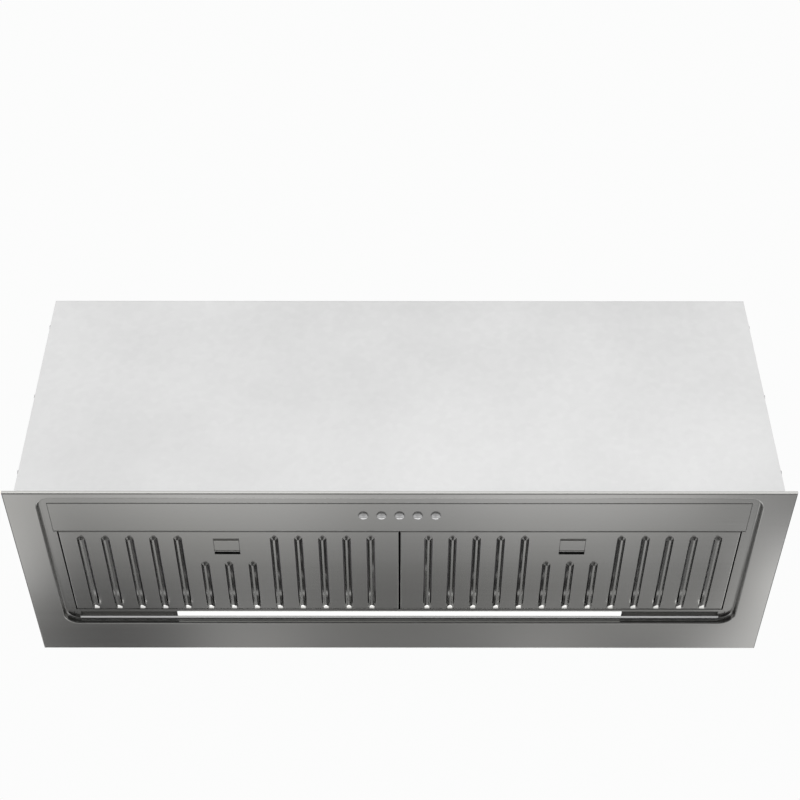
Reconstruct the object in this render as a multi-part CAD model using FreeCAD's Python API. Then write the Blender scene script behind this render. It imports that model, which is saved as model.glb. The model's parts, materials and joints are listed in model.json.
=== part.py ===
import FreeCAD, Part
import math
import os

# Range hood insert.  Millimetres.  +X right, +Y towards the wall, +Z up.
# The origin is the centre of the flange's underside, where the insert faces the hob.

Vector = FreeCAD.Vector
ORIGIN = Vector(0, 0, 0)
X_AXIS = Vector(1, 0, 0)
Y_AXIS = Vector(0, 1, 0)
Z_AXIS = Vector(0, 0, 1)
EIGHTH_TURN = 45.0

# ---------------------------------------------------------------------------
# Driving dimensions
# ---------------------------------------------------------------------------

# Bottom pan
pan_sheet = 1.2
rim_height = 4.0            # the flange's edge is folded up by this much
pan_bend = 1.6              # outer bend radius of the rim and of the recess mouth
flange_side = 34.5          # flange width beside, before and behind the recess
flange_front = 8.5
flange_rear = 52.2
recess_step = 7.0           # the ledge's underside above the flange's underside
recess_corner = 17.0
ledge_bend = 2.5
ledge_front = 15.4          # ledge width before, beside and behind its openings
ledge_side = 9.5
ledge_filter_side = 13.5
ledge_rear = 4.8
light_land = 3.2            # bar of ledge between the filters and the light

# Control strip and buttons
strip_sheet = 1.0
strip_depth = 48.2
strip_gap = 0.4             # clearance at the strip's ends
strip_front_gap = 1.0       # shadow line along the strip's front edge
strip_lip = 5.0             # the rear lip is lower, for the latch tongues to pass over
strip_ear = 8.0
strip_ear_inset = 6.0
button_count = 5
button_pitch = 20.0
button_radius = 4.95
button_from_front = 20.0    # button line behind the strip's front edge
button_proud = 3.0
button_travel = 2.0
button_gap = 0.4
button_dome = 11.0          # radius of its domed face
button_body = 8.0           # length of the cap behind its face
collar_extra = 1.45         # the collar that keeps a button in its hole
collar_thick = 1.0
stem_radius = 2.0
stem_length = 4.7
plunger_radius = 1.6
housing_wall = 3.2
housing_height = 16.0
housing_corner = 2.0
board_thick = 1.6
key_size = 6.0
key_height = 4.3
seat_gap = 0.3              # standing clearance between pieces of different bodies

# Grease filters
filter_width = 381.0
filter_depth = 145.8
filter_height = 10.0
filter_sheet = 0.9
filter_bend = 1.8
filter_split = 1.0          # gap between the two filters
filter_side_gap = 0.5
filter_front_gap = 0.8
filter_rear_gap = 0.4
louvre_count = 13
louvre_inner_margin = 32.0  # first louvre from the filter's inner end
louvre_outer_margin = 24.4
louvre_front_margin = 8.6
louvre_rear_margin = 4.7
louvre_width = 9.2
louvre_crown = 2.2          # width of the louvre's flat back
louvre_rise = 3.6
louvre_sheet = 0.8
louvre_strip = 6.6          # width of the bridge between its two side slots
louvre_front_run = 2.2      # lengths of the steep front end and the long rear end
louvre_rear_run = 8.0
short_louvre_start = 55.1   # front of the three short ones, behind the filter's front
back_sheet = 0.7
back_inset = 0.95           # clear of the bend inside the face tray
back_height = 8.9
tab_width = 12.0
tab_reach = 2.6
tab_thick = 0.8
tab_from_end = 54.0

# Filter latch
window_width = 29.0
window_from_front = 11.7
cup_margin_x = 2.5
cup_margin_y = 2.0
cup_wall = 0.8
cup_height = 6.8
grip_depth = 19.6
grip_sheet = 1.0
grip_edge_round = 0.3
grip_recess = 0.3
grip_lip = 0.8
grip_gap = 0.4
wing_reach = 2.1
wing_front = 2.6            # how far the wings close the slot in front of the grip
wing_thick = 1.4
tongue_width = 16.0
tongue_thick = 1.4
tongue_gap = 0.4
latch_throw = 3.0           # forward from the resting place, over the strip's rear lip
latch_draw = 4.6            # rearward, away from the lip
latch_stop_gap = 0.95       # left between the grip and its window at either end

# Light bar
lens_length = 526.0
lens_width = 7.6
lens_height = 3.0
lens_proud = 1.0
lens_round = 0.9
lens_gap = 0.15
channel_wall = 0.6
channel_height = 10.0
channel_recess = 0.3
groove_depth = 1.6          # the grooves that carry the lens's line on to either end
groove_margin = 1.0         # left between a groove and the lens
groove_end = 8.0            # left between a groove and the channel's end
channel_flange = 4.0
channel_flange_thick = 1.0
light_shoulder = 1.0
light_board_thick = 1.0
chip_count = 22
chip_length = 3.0
chip_width = 3.2
chip_height = 0.8
driver_length = 120.0
driver_depth = 42.0
driver_height = 26.0
driver_corner = 3.0
driver_inset_x = 88.0       # from the left panel
driver_inset_y = 30.0       # from the front panel

# Casing
casing_sheet = 1.0
casing_top_level = 310.0
casing_side_inset = 12.0    # casing wall in from the flange's edge
casing_front_inset = 4.8
casing_rear_inset = 19.0
return_width = 12.0
return_relief = 1.0         # returns stop short of each other by this much
fixing_spacing = 180.0
fixing_level = 150.0
fixing_radius = 2.6
rib_count = 4
rib_width = 12.0
rib_rise = 2.0
rib_margin = 60.0

# Blower
wheel_radius = 75.0
wheel_width = 136.0
wheel_disc = 2.0
wheel_ring = 3.0
blade_count = 30
blade_depth = 14.0          # radial depth of the blades
blade_thick = 0.8
blade_bow = 4.5
hub_radius = 12.0
hub_length = 20.0
shaft_radius = 4.0
shaft_tail = 14.0
shaft_engagement = 18.0
shaft_play = 0.05
scroll_width = 160.0
scroll_wall = 2.0
scroll_tongue_radius = 88.0
scroll_growth = 13.0        # growth of the scroll's radius per quarter turn
tongue_offset = 30.7        # outlet's inner wall behind the wheel's axis
scroll_neck = 5.0           # straight neck above the first quarter's crown
rim_reach = 9.0
rim_thick = 2.0
inlet_radius = 60.0
inlet_flare = 9.0
inlet_sheet = 1.5
inlet_flange = 7.0
inlet_reach = 8.0           # the throat's reach into the scroll
inlet_play = 0.5            # between the bell mouth and the hole it sits in
inlet_steps = 4             # cones that make up the bell mouth's flare
blower_floor_gap = 6.0      # between the filters and the scroll's rim
blower_wall_gap = 0.6       # between the rim and the rear panel
motor_radius = 46.0
motor_length = 86.0
motor_shoulder = 6.0
motor_boss_radius = 20.0
motor_boss_length = 4.0
motor_from_hub = 2.0
clamp_wall = 4.0
clamp_width = 10.0
arm_width = 14.0
arm_thick = 3.0
arm_count = 3
bush_radius = 5.0
bush_margin = 5.0           # between the inlet ring's flange and the bushes
bush_height = 6.0
hanger_width = 26.0
hanger_depth = 20.0
hanger_sheet = 1.5
hanger_from_edge = 2.0
hanger_ahead = 50.0         # hangers in front of the wheel's axis
boss_rise = 6.0
capacitor_radius = 17.0
capacitor_length = 62.0
capacitor_edge = 1.0
capacitor_clip_sheet = 1.0
capacitor_clip_width = 14.0
capacitor_x = 231.0
capacitor_from_front = 50.0

# Duct collar and flaps
collar_radius = 74.5        # fits inside a 150 mm duct
collar_sheet = 1.2
collar_height = 56.0
collar_base = 166.0
collar_base_corner = 8.0
collar_from_rear = 97.0     # collar's axis in front of the rear panel's outer face
bead_reach = 2.0
bead_height = 2.0
adapter_wall = 2.0
adapter_flange = 8.0
adapter_flange_thick = 3.0
adapter_bends = 6           # flat faces that lead from each corner to the circle
adapter_margin = 2.0
flap_level = 24.0           # flap pin above the casing's top
flap_play = 1.3
flap_sheet = 1.0
flap_pin_offset = 4.2       # each flap's pin lies this far in front of or behind the axis
flap_pin_radius = 2.0
flap_pin_play = 0.08
flap_roll_wall = 1.5        # the flap's straight edge is rolled round its pin
flap_roll_gap = 3.0         # between the roll's ends and the collar's bead

# Connection box
box_length = 110.0
box_depth = 80.0
box_height = 34.0
box_wall = 1.2
box_from_left = 118.0
box_from_front = 80.0
cover_lip = 6.0
cover_play = 0.2
terminal_length = 62.0
terminal_depth = 20.0
terminal_height = 16.0
terminal_ways = 5
terminal_entry = 4.0        # side of the square wire entries
terminal_well = 2.0         # radius of the screw wells
gland_radius = 9.0
gland_thread = 7.5
gland_bore = 4.6
gland_body = 16.0
gland_dome = 9.6
gland_dome_radius = 8.5
gland_dome_edge = 1.2
gland_inside = 7.0
gland_nut = 3.5

# Screws
screw_head_radius = 3.4     # centre to corner of the hexagon
screw_head_height = 2.0
screw_shank_radius = 1.6
screw_play = 0.3
screw_length = 6.0
seam_screw_inset = 40.0     # from the casing's top and bottom
top_screw_inner = 120.0
top_screw_outer = 350.0
collar_screw_inset = 10.0

overrun = 1.0               # how far a cutting tool runs past what it cuts
tiny = 0.0001               # how far a face may lie from the level it is looked for at

# ---------------------------------------------------------------------------
# Sizes and places worked out from the driving dimensions
# ---------------------------------------------------------------------------

ledge_under = recess_step
ledge_top = recess_step + pan_sheet

# Across the insert
opening_half = filter_split / 2 + filter_width + filter_side_gap
recess_half = opening_half + ledge_filter_side
strip_open_half = recess_half - ledge_side
strip_half = strip_open_half - strip_gap
flange_half_x = recess_half + flange_side

# Front to rear
slot_depth = lens_width + 2 * (lens_gap + channel_wall + seat_gap)
recess_depth = (ledge_front + strip_front_gap + strip_depth + filter_front_gap + filter_depth
                + filter_rear_gap + light_land + slot_depth + ledge_rear)
flange_depth = flange_front + recess_depth + flange_rear
flange_half_y = flange_depth / 2
recess_front_y = -flange_half_y + flange_front
recess_rear_y = recess_front_y + recess_depth
strip_open_y = recess_front_y + ledge_front
strip_front_y = strip_open_y + strip_front_gap
strip_rear_y = strip_front_y + strip_depth
filter_front_y = strip_rear_y + filter_front_gap
filter_rear_y = filter_front_y + filter_depth
opening_rear_y = filter_rear_y + filter_rear_gap
slot_front_y = opening_rear_y + light_land
slot_rear_y = slot_front_y + slot_depth
light_y = (slot_front_y + slot_rear_y) / 2

# Filters
face_under = ledge_under
face_top = face_under + filter_sheet
back_top = face_top + back_height
filter_crown = back_top + louvre_rise
louvre_pitch = (filter_width - louvre_inner_margin - louvre_outer_margin) / (louvre_count - 1)
louvre_front_y = filter_front_y + louvre_front_margin
louvre_rear_y = filter_rear_y - louvre_rear_margin
short_louvre_y = filter_front_y + short_louvre_start
middle_louvre = louvre_count // 2
latch_x = filter_split / 2 + louvre_inner_margin + middle_louvre * louvre_pitch
window_front_y = filter_front_y + window_from_front
grip_front_y = window_front_y + latch_stop_gap + latch_throw
grip_rear_y = grip_front_y + grip_depth
window_rear_y = grip_rear_y + latch_draw + latch_stop_gap
grip_under = face_under + grip_recess
wing_under = face_top + seat_gap
tongue_under = wing_under + wing_thick
tongue_top = tongue_under + tongue_thick
catch_level = tongue_under - seat_gap

# Buttons
button_y = strip_front_y + button_from_front
button_face = ledge_under - button_proud
strip_top = ledge_under + strip_sheet
collar_under = strip_top + seat_gap
cap_top = button_face + button_body
stem_top = cap_top + stem_length
housing_top = strip_top + housing_height

# Casing
casing_left = -flange_half_x + casing_side_inset
casing_right = -casing_left
casing_front = -flange_half_y + casing_front_inset
casing_rear = flange_half_y - casing_rear_inset
casing_ceiling = casing_top_level - casing_sheet

# Blower
scroll_reach_down = scroll_tongue_radius + 2 * scroll_growth + scroll_growth / 2
scroll_reach_rear = scroll_tongue_radius + 3 * scroll_growth + scroll_growth / 2
wheel_y = casing_rear - casing_sheet - blower_wall_gap - rim_reach - scroll_reach_rear
wheel_z = filter_crown + blower_floor_gap + rim_reach + scroll_reach_down
neck_z = wheel_z + scroll_growth / 2 + scroll_tongue_radius + scroll_neck
scroll_half = scroll_width / 2
inlet_hole_radius = inlet_radius + inlet_flare
inlet_rim_radius = inlet_hole_radius + inlet_flange
arm_pitch_radius = inlet_rim_radius + bush_margin + bush_radius
motor_start = hub_length / 2 + motor_from_hub
collar_y = casing_rear - collar_from_rear
collar_inner = collar_radius - collar_sheet
flap_z = casing_top_level + flap_level
flap_roll_half = collar_inner - bead_reach - flap_roll_gap


# ---------------------------------------------------------------------------
# Helpers
# ---------------------------------------------------------------------------

def block(x0, x1, y0, y1, z0, z1):
    """A box between two corners, whichever way round each pair is given."""
    low = Vector(min(x0, x1), min(y0, y1), min(z0, z1))
    return Part.makeBox(abs(x1 - x0), abs(y1 - y0), abs(z1 - z0), low)


def rod(radius, length, base, direction=Z_AXIS):
    return Part.makeCylinder(radius, length, base, direction)


def tube(outer, inner, length, base, direction=Z_AXIS):
    return rod(outer, length, base, direction).cut(rod(inner, length, base, direction))


def edges_along(shape, axis, test=None):
    """Straight edges along an axis, or only those whose middle passes the test."""
    found = []
    for edge in shape.Edges:
        ends = [vertex.Point for vertex in edge.Vertexes]
        if len(ends) != 2 or edge.Curve.TypeId != "Part::GeomLine":
            continue
        run = (ends[1] - ends[0]).normalize()
        if abs(run.dot(axis)) < 1 - tiny:
            continue
        if test is None or test(edge.CenterOfMass):
            found.append(edge)
    return found


def edges_at_level(shape, level):
    """Edges that lie wholly in the horizontal plane at this level."""
    return [edge for edge in shape.Edges
            if abs(edge.BoundBox.ZMin - level) < tiny and abs(edge.BoundBox.ZMax - level) < tiny]


def rounded_block(x0, x1, y0, y1, z0, z1, radius):
    """A box with its four upright edges rounded."""
    shape = block(x0, x1, y0, y1, z0, z1)
    return shape.makeFillet(radius, edges_along(shape, Z_AXIS))


def join(shapes):
    return shapes[0].multiFuse(shapes[1:]).removeSplitter()


def group(shapes):
    """Separate solids kept together in one node."""
    return Part.makeCompound(shapes)


def polygon_prism(points, direction):
    """A straight prism on a closed polygon."""
    wire = Part.makePolygon(points + points[:1])
    return Part.Face(wire).extrude(direction)


def hexagon(radius, length, base, direction):
    """A six-sided prism along X or Z, with two of its corners towards -Y and +Y."""
    aside = direction.cross(Y_AXIS)
    points = []
    for index in range(6):
        angle = math.pi / 3 * index
        points.append(base + Y_AXIS * (radius * math.cos(angle)) + aside * (radius * math.sin(angle)))
    return polygon_prism(points, direction * length)


def round_edges(shape):
    return [edge for edge in shape.Edges if edge.Curve.TypeId == "Part::GeomCircle"]


def revolved(points, centre, axis):
    """A full turn of a closed profile."""
    wire = Part.makePolygon(points + points[:1])
    return Part.Face(wire).revolve(centre, axis, 360)


def mirrored_x(shape):
    return shape.mirror(ORIGIN, X_AXIS)


def screw(seat, inward, length=screw_length):
    """A hexagon-head screw: its head stands on the seat and its shank goes inward."""
    head = hexagon(screw_head_radius, screw_head_height, seat, inward * -1)
    return head.fuse(rod(screw_shank_radius, length, seat, inward))


def screw_holes(seats, inward, length=screw_length):
    """The clearance holes for screws at these seats."""
    radius = screw_shank_radius + screw_play
    return [rod(radius, length + 2 * overrun, seat - inward * overrun, inward) for seat in seats]


# ---------------------------------------------------------------------------
# Bottom pan: flange, folded rim, recess wall and ledge in one pressing
# ---------------------------------------------------------------------------

def make_bottom_pan():
    tray = block(-flange_half_x, flange_half_x, -flange_half_y, flange_half_y, 0, rim_height)
    tray = tray.makeFillet(pan_bend, edges_at_level(tray, 0))
    hollow_x = flange_half_x - pan_sheet
    hollow_y = flange_half_y - pan_sheet
    hollow = block(-hollow_x, hollow_x, -hollow_y, hollow_y, pan_sheet, rim_height + overrun)
    hollow = hollow.makeFillet(pan_bend - pan_sheet, edges_at_level(hollow, pan_sheet))

    well = rounded_block(-recess_half, recess_half, recess_front_y, recess_rear_y,
                         -overrun, ledge_under, recess_corner)
    well = well.makeFillet(ledge_bend, edges_at_level(well, ledge_under))
    shell_half = recess_half + pan_sheet
    shell = rounded_block(-shell_half, shell_half, recess_front_y - pan_sheet,
                          recess_rear_y + pan_sheet, pan_sheet / 2, ledge_top,
                          recess_corner + pan_sheet)
    shell = shell.makeFillet(ledge_bend + pan_sheet, edges_at_level(shell, ledge_top))

    pan = tray.cut(hollow).fuse(shell).cut(well).removeSplitter()
    mouth = [edge for edge in edges_at_level(pan, 0)
             if edge.BoundBox.XMax < shell_half and edge.BoundBox.XMin > -shell_half
             and edge.BoundBox.YMin > recess_front_y - pan_sheet]
    pan = pan.makeFillet(pan_bend, mouth)

    below = ledge_under - overrun
    above = ledge_top + overrun
    step_y = strip_rear_y + filter_front_gap / 2
    slot_half = strip_open_half - strip_gap
    openings = [
        block(-strip_open_half, strip_open_half, strip_open_y, step_y, below, above),
        block(-opening_half, opening_half, step_y, opening_rear_y, below, above),
        block(-slot_half, slot_half, slot_front_y, slot_rear_y, below, above),
    ]
    return pan.cut(openings)


# ---------------------------------------------------------------------------
# Control strip, buttons and switches
# ---------------------------------------------------------------------------

def button_places():
    first = -button_pitch * (button_count - 1) / 2
    return [first + button_pitch * index for index in range(button_count)]


def make_control_strip():
    plate = block(-strip_half, strip_half, strip_front_y, strip_rear_y,
                  ledge_under, ledge_under + strip_lip)
    long_edges = edges_along(plate, X_AXIS, lambda middle: middle.z < strip_top)
    plate = plate.makeFillet(strip_sheet, long_edges)
    end = strip_half + overrun
    above = ledge_under + strip_lip + overrun
    hollow = block(-end, end, strip_front_y + strip_sheet, strip_rear_y - strip_sheet,
                   strip_top, above)
    lowering = block(-end, end, strip_front_y + strip_sheet, strip_rear_y + overrun,
                     catch_level, above)
    strip = plate.cut([hollow, lowering])

    ear_front = strip_front_y + strip_ear_inset
    ear_rear = strip_rear_y - strip_ear_inset
    ear_top = ledge_top + strip_sheet
    ears = []
    for side in (-1, 1):
        riser = block(side * (strip_half - strip_sheet), side * strip_half,
                      ear_front, ear_rear, ledge_under, ear_top)
        foot = block(side * (strip_half - strip_sheet), side * (strip_half + strip_ear),
                     ear_front, ear_rear, ledge_top, ear_top)
        ears += [riser, foot]
    strip = join([strip] + ears)

    return strip.cut([rod(button_radius + button_gap, strip_sheet + 2 * overrun,
                          Vector(x, button_y, ledge_under - overrun)) for x in button_places()])


def make_button(x):
    cap = rod(button_radius, cap_top - button_face, Vector(x, button_y, button_face))
    cap = cap.common(Part.makeSphere(button_dome, Vector(x, button_y, button_face + button_dome)))
    keeper = rod(button_radius + collar_extra, collar_thick, Vector(x, button_y, collar_under))
    stem = rod(stem_radius, stem_length, Vector(x, button_y, cap_top))
    return join([cap, keeper, stem])


def make_switch_housing():
    half_x = button_pitch * (button_count - 1) / 2 + button_radius + collar_extra + housing_wall
    half_y = button_radius + collar_extra + housing_wall
    body = rounded_block(-half_x, half_x, button_y - half_y, button_y + half_y,
                         strip_top, housing_top, housing_corner)
    keeper_room = collar_under + collar_thick + button_travel + seat_gap
    cap_room = cap_top + button_travel + seat_gap
    key_floor = housing_top - key_height - seat_gap
    cuts = []
    for x in button_places():
        cuts.append(rod(button_radius + collar_extra + button_gap, keeper_room - strip_top,
                        Vector(x, button_y, strip_top)))
        cuts.append(rod(button_radius + button_gap, cap_room - strip_top,
                        Vector(x, button_y, strip_top)))
        cuts.append(rod(stem_radius + button_gap, housing_top - cap_room,
                        Vector(x, button_y, cap_room)))
        key_half = key_size / 2 + seat_gap
        cuts.append(block(x - key_half, x + key_half, button_y - key_half, button_y + key_half,
                          key_floor, housing_top))
    return body.cut(cuts)


def make_switch_board():
    half_x = button_pitch * (button_count - 1) / 2 + button_radius + collar_extra + housing_wall
    half_y = button_radius + collar_extra + housing_wall
    pieces = [block(-half_x, half_x, button_y - half_y, button_y + half_y,
                    housing_top, housing_top + board_thick)]
    for x in button_places():
        half = key_size / 2
        pieces.append(block(x - half, x + half, button_y - half, button_y + half,
                            housing_top - key_height, housing_top))
        plunger_foot = stem_top + button_travel + seat_gap
        pieces.append(rod(plunger_radius, housing_top - key_height - plunger_foot,
                          Vector(x, button_y, plunger_foot)))
    return join(pieces)


# ---------------------------------------------------------------------------
# Grease filters
# ---------------------------------------------------------------------------

def louvre_ridge(inset, front, rear, top):
    """A flat-backed ridge below z = 0, upright above it, each face moved in by the inset.

    Its rear end is one long slope.  Its front end is three steep slopes, which stand on half
    of an octagon round the point where the ridge begins to run straight.
    """
    half = louvre_width / 2
    flank_run = half - louvre_crown / 2
    flank_slope = math.atan2(louvre_rise, flank_run)
    front_slope = math.atan2(louvre_rise, louvre_front_run)
    rear_slope = math.atan2(louvre_rise, louvre_rear_run)
    depth = louvre_rise - inset
    foot = half - inset / math.sin(flank_slope)
    back = foot - depth / math.tan(flank_slope)
    front_foot = front + inset / math.sin(front_slope)
    rear_foot = rear - inset / math.sin(rear_slope)
    length = rear - front

    start = front - overrun
    section = [Vector(-foot, start, top), Vector(-foot, start, 0), Vector(-back, start, -depth),
               Vector(back, start, -depth), Vector(foot, start, 0), Vector(foot, start, top)]
    ridge = polygon_prism(section, Y_AXIS * (length + 2 * overrun))

    reach = depth + overrun
    rear_end = rear_foot - reach / math.tan(rear_slope)
    beyond = rear + length
    front_end = front_foot + reach / math.tan(front_slope)
    slopes = [(0, rear_foot, rear_end), (EIGHTH_TURN, beyond, beyond), (-EIGHTH_TURN, beyond, beyond)]
    for turn, last, last_end in slopes:
        side = [Vector(-length, front_foot, top), Vector(-length, front_foot, 0),
                Vector(-length, front_end, -reach), Vector(-length, last_end, -reach),
                Vector(-length, last, 0), Vector(-length, last, top)]
        keep = polygon_prism(side, X_AXIS * (2 * length))
        keep.rotate(Vector(0, front + half, 0), Z_AXIS, turn)
        ridge = ridge.common(keep)
    return ridge


def louvre_tools(front, rear):
    """The solids that press one bridge louvre out of a sheet whose outer face is z = 0.

    The bridge stands below the face and is open along both flanks.  The first solid is
    added to the sheet and the rest are cut from it.
    """
    half = louvre_width / 2
    outer = louvre_ridge(0, front, rear, louvre_sheet / 2)
    cuts = [louvre_ridge(louvre_sheet, front, rear, filter_sheet + overrun)]
    for side in (-1, 1):
        cuts.append(block(side * louvre_strip / 2, side * half, front + half, rear - louvre_rear_run,
                          -louvre_rise - overrun, filter_sheet + overrun))
    return outer, cuts


def pressed_louvres(sheet, places, face_level, downward):
    """Press louvres at (x, front, rear) places out of a sheet, downward or upward."""
    tools = {}
    additions = []
    removals = []
    for x, front, rear in places:
        if (front, rear) not in tools:
            tools[(front, rear)] = louvre_tools(front, rear)
        outer, cuts = tools[(front, rear)]
        for source, target in [([outer], additions), (cuts, removals)]:
            for tool in source:
                piece = tool.copy()
                if not downward:
                    piece.rotate(ORIGIN, Y_AXIS, 180)
                piece.translate(Vector(x, 0, face_level))
                target.append(piece)
    return sheet.multiFuse(additions).cut(removals)


def tongue_slot(front, rear):
    half = tongue_width / 2 + tongue_gap
    return block(latch_x - half, latch_x + half, front, rear,
                 tongue_under - tongue_gap, tongue_top + tongue_gap)


def make_filter_face():
    """The right-hand louvred face tray."""
    inner_end = filter_split / 2
    outer_end = inner_end + filter_width
    tray = block(inner_end, outer_end, filter_front_y, filter_rear_y,
                 face_under, face_under + filter_height)
    tray = tray.makeFillet(filter_bend, edges_at_level(tray, face_under))
    hollow = block(inner_end + filter_sheet, outer_end - filter_sheet,
                   filter_front_y + filter_sheet, filter_rear_y - filter_sheet,
                   face_top, face_under + filter_height + overrun)
    hollow = hollow.makeFillet(filter_bend - filter_sheet, edges_at_level(hollow, face_top))
    tray = tray.cut(hollow)

    tabs = []
    tab_under = ledge_top + seat_gap
    for place in (inner_end + tab_from_end, outer_end - tab_from_end):
        tabs.append(block(place - tab_width / 2, place + tab_width / 2,
                          filter_rear_y - filter_sheet / 2, filter_rear_y + tab_reach,
                          tab_under, tab_under + tab_thick))
    tray = join([tray] + tabs)

    places = []
    for index in range(louvre_count):
        x = inner_end + louvre_inner_margin + index * louvre_pitch
        is_short = abs(index - middle_louvre) <= 1
        places.append((x, short_louvre_y if is_short else louvre_front_y, louvre_rear_y))
    face = pressed_louvres(tray, places, face_under, downward=True)

    window = block(latch_x - window_width / 2, latch_x + window_width / 2,
                   window_front_y, window_rear_y, face_under - overrun, face_top + overrun)
    slot = tongue_slot(filter_front_y - overrun, filter_front_y + 2 * filter_sheet)
    return face.cut([window, slot])


def make_filter_back():
    """The right-hand inner plate: louvred upward, half a pitch across from the face."""
    inset = filter_sheet + back_inset
    inner_end = filter_split / 2 + inset
    outer_end = filter_split / 2 + filter_width - inset
    front = filter_front_y + inset
    rear = filter_rear_y - inset
    tray = block(inner_end, outer_end, front, rear, face_top, back_top)
    hollow = block(inner_end + back_sheet, outer_end - back_sheet, front + back_sheet,
                   rear - back_sheet, face_top - overrun, back_top - back_sheet)
    tray = tray.cut(hollow)
    places = []
    for index in range(louvre_count - 1):
        x = filter_split / 2 + louvre_inner_margin + (index + 0.5) * louvre_pitch
        places.append((x, louvre_front_y, louvre_rear_y))
    back = pressed_louvres(tray, places, back_top, downward=False)
    return back.cut(tongue_slot(front - overrun, front + 2 * back_sheet))


def make_latch_cup():
    """The right-hand latch guide behind the grip window."""
    half_x = window_width / 2 + cup_margin_x
    front = window_front_y - cup_margin_y
    rear = window_rear_y + cup_margin_y
    shell = block(latch_x - half_x - cup_wall, latch_x + half_x + cup_wall,
                  front - cup_wall, rear + cup_wall, face_top, face_top + cup_height)
    hollow = block(latch_x - half_x, latch_x + half_x, front, rear,
                   face_top - overrun, face_top + cup_height - cup_wall)
    return shell.cut([hollow, tongue_slot(front - 2 * cup_wall, front + cup_wall)])


def make_latch():
    """The right-hand grip plate with its wings and tongue."""
    half = window_width / 2 - grip_gap
    plate = block(latch_x - half, latch_x + half, grip_front_y, grip_rear_y,
                  grip_under, wing_under)
    lips = []
    for low in (grip_front_y, grip_rear_y - grip_sheet):
        lips.append(block(latch_x - half, latch_x + half, low, low + grip_sheet,
                          grip_under - grip_lip, grip_under))
    wings = block(latch_x - half - wing_reach, latch_x + half + wing_reach,
                  grip_front_y - wing_front, grip_rear_y, wing_under, tongue_under)
    tongue = block(latch_x - tongue_width / 2, latch_x + tongue_width / 2,
                   filter_front_y, grip_rear_y, tongue_under, tongue_top)
    latch = join([plate, wings, tongue] + lips)
    tips = edges_along(latch, X_AXIS, lambda middle: middle.z < grip_under - grip_lip / 2)
    return latch.makeFillet(grip_edge_round, tips)


# ---------------------------------------------------------------------------
# Light bar
# ---------------------------------------------------------------------------

channel_half = strip_open_half - strip_gap - seat_gap
channel_under = ledge_under + channel_recess
shoulder_level = ledge_under - lens_proud + lens_height
channel_top = channel_under + channel_height
board_under = channel_top - channel_wall - light_board_thick


def make_light_channel():
    """The channel that holds the lens, with a shallow groove from the lens to either end."""
    front = slot_front_y + seat_gap
    rear = slot_rear_y - seat_gap
    body = block(-channel_half, channel_half, front, rear, channel_under, channel_top)
    flange = block(-channel_half, channel_half, rear - channel_wall, rear + channel_flange,
                   ledge_top, ledge_top + channel_flange_thick)
    lens_half = lens_length / 2 + lens_gap
    seat = block(-lens_half, lens_half, light_y - lens_width / 2 - lens_gap,
                 light_y + lens_width / 2 + lens_gap, channel_under - overrun, shoulder_level)
    grooves = []
    for side in (-1, 1):
        grooves.append(block(side * (lens_half + groove_margin), side * (channel_half - groove_end),
                             light_y - lens_width / 2, light_y + lens_width / 2,
                             channel_under - overrun, channel_under + groove_depth))
    room_half = lens_length / 2 - light_shoulder
    room = block(-room_half, room_half, light_y - lens_width / 2 + light_shoulder,
                 light_y + lens_width / 2 - light_shoulder, shoulder_level - overrun,
                 channel_top - channel_wall)
    return join([body, flange]).cut([seat, room] + grooves)


def make_light_lens():
    lens = block(-lens_length / 2, lens_length / 2, light_y - lens_width / 2,
                 light_y + lens_width / 2, ledge_under - lens_proud, shoulder_level)
    return lens.makeFillet(lens_round, edges_at_level(lens, ledge_under - lens_proud))


def make_light_board():
    half = lens_length / 2 - 2 * light_shoulder
    half_y = lens_width / 2 - light_shoulder - lens_gap
    pieces = [block(-half, half, light_y - half_y, light_y + half_y,
                    board_under, board_under + light_board_thick)]
    pitch = 2 * half / chip_count
    for index in range(chip_count):
        x = -half + (index + 0.5) * pitch
        pieces.append(block(x - chip_length / 2, x + chip_length / 2, light_y - chip_width / 2,
                            light_y + chip_width / 2, board_under - chip_height, board_under))
    return join(pieces)


def make_light_driver():
    x0 = casing_left + driver_inset_x
    y0 = casing_front + driver_inset_y
    body = block(x0, x0 + driver_length, y0, y0 + driver_depth,
                 casing_ceiling - driver_height, casing_ceiling)
    return body.makeFillet(driver_corner, edges_along(body, Z_AXIS))


# ---------------------------------------------------------------------------
# Casing panels
# ---------------------------------------------------------------------------

def seam_seats(side):
    """Screw seats on the outer face of a side panel, along its front and rear seams."""
    rows = (casing_front + casing_sheet + return_width / 2,
            casing_rear - casing_sheet - return_width / 2)
    levels = (seam_screw_inset, casing_top_level / 2, casing_top_level - seam_screw_inset)
    return [Vector(side * casing_right, y, z) for y in rows for z in levels]


def top_seats():
    rows = (casing_front + casing_sheet + return_width / 2,
            casing_rear - casing_sheet - return_width / 2)
    places = (-top_screw_outer, -top_screw_inner, top_screw_inner, top_screw_outer)
    return [Vector(x, y, casing_top_level) for y in rows for x in places]


def collar_seats():
    reach = collar_base / 2 - collar_screw_inset
    level = casing_top_level + collar_sheet
    return [Vector(i * reach, collar_y + j * reach, level) for i in (-1, 1) for j in (-1, 1)]


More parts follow.
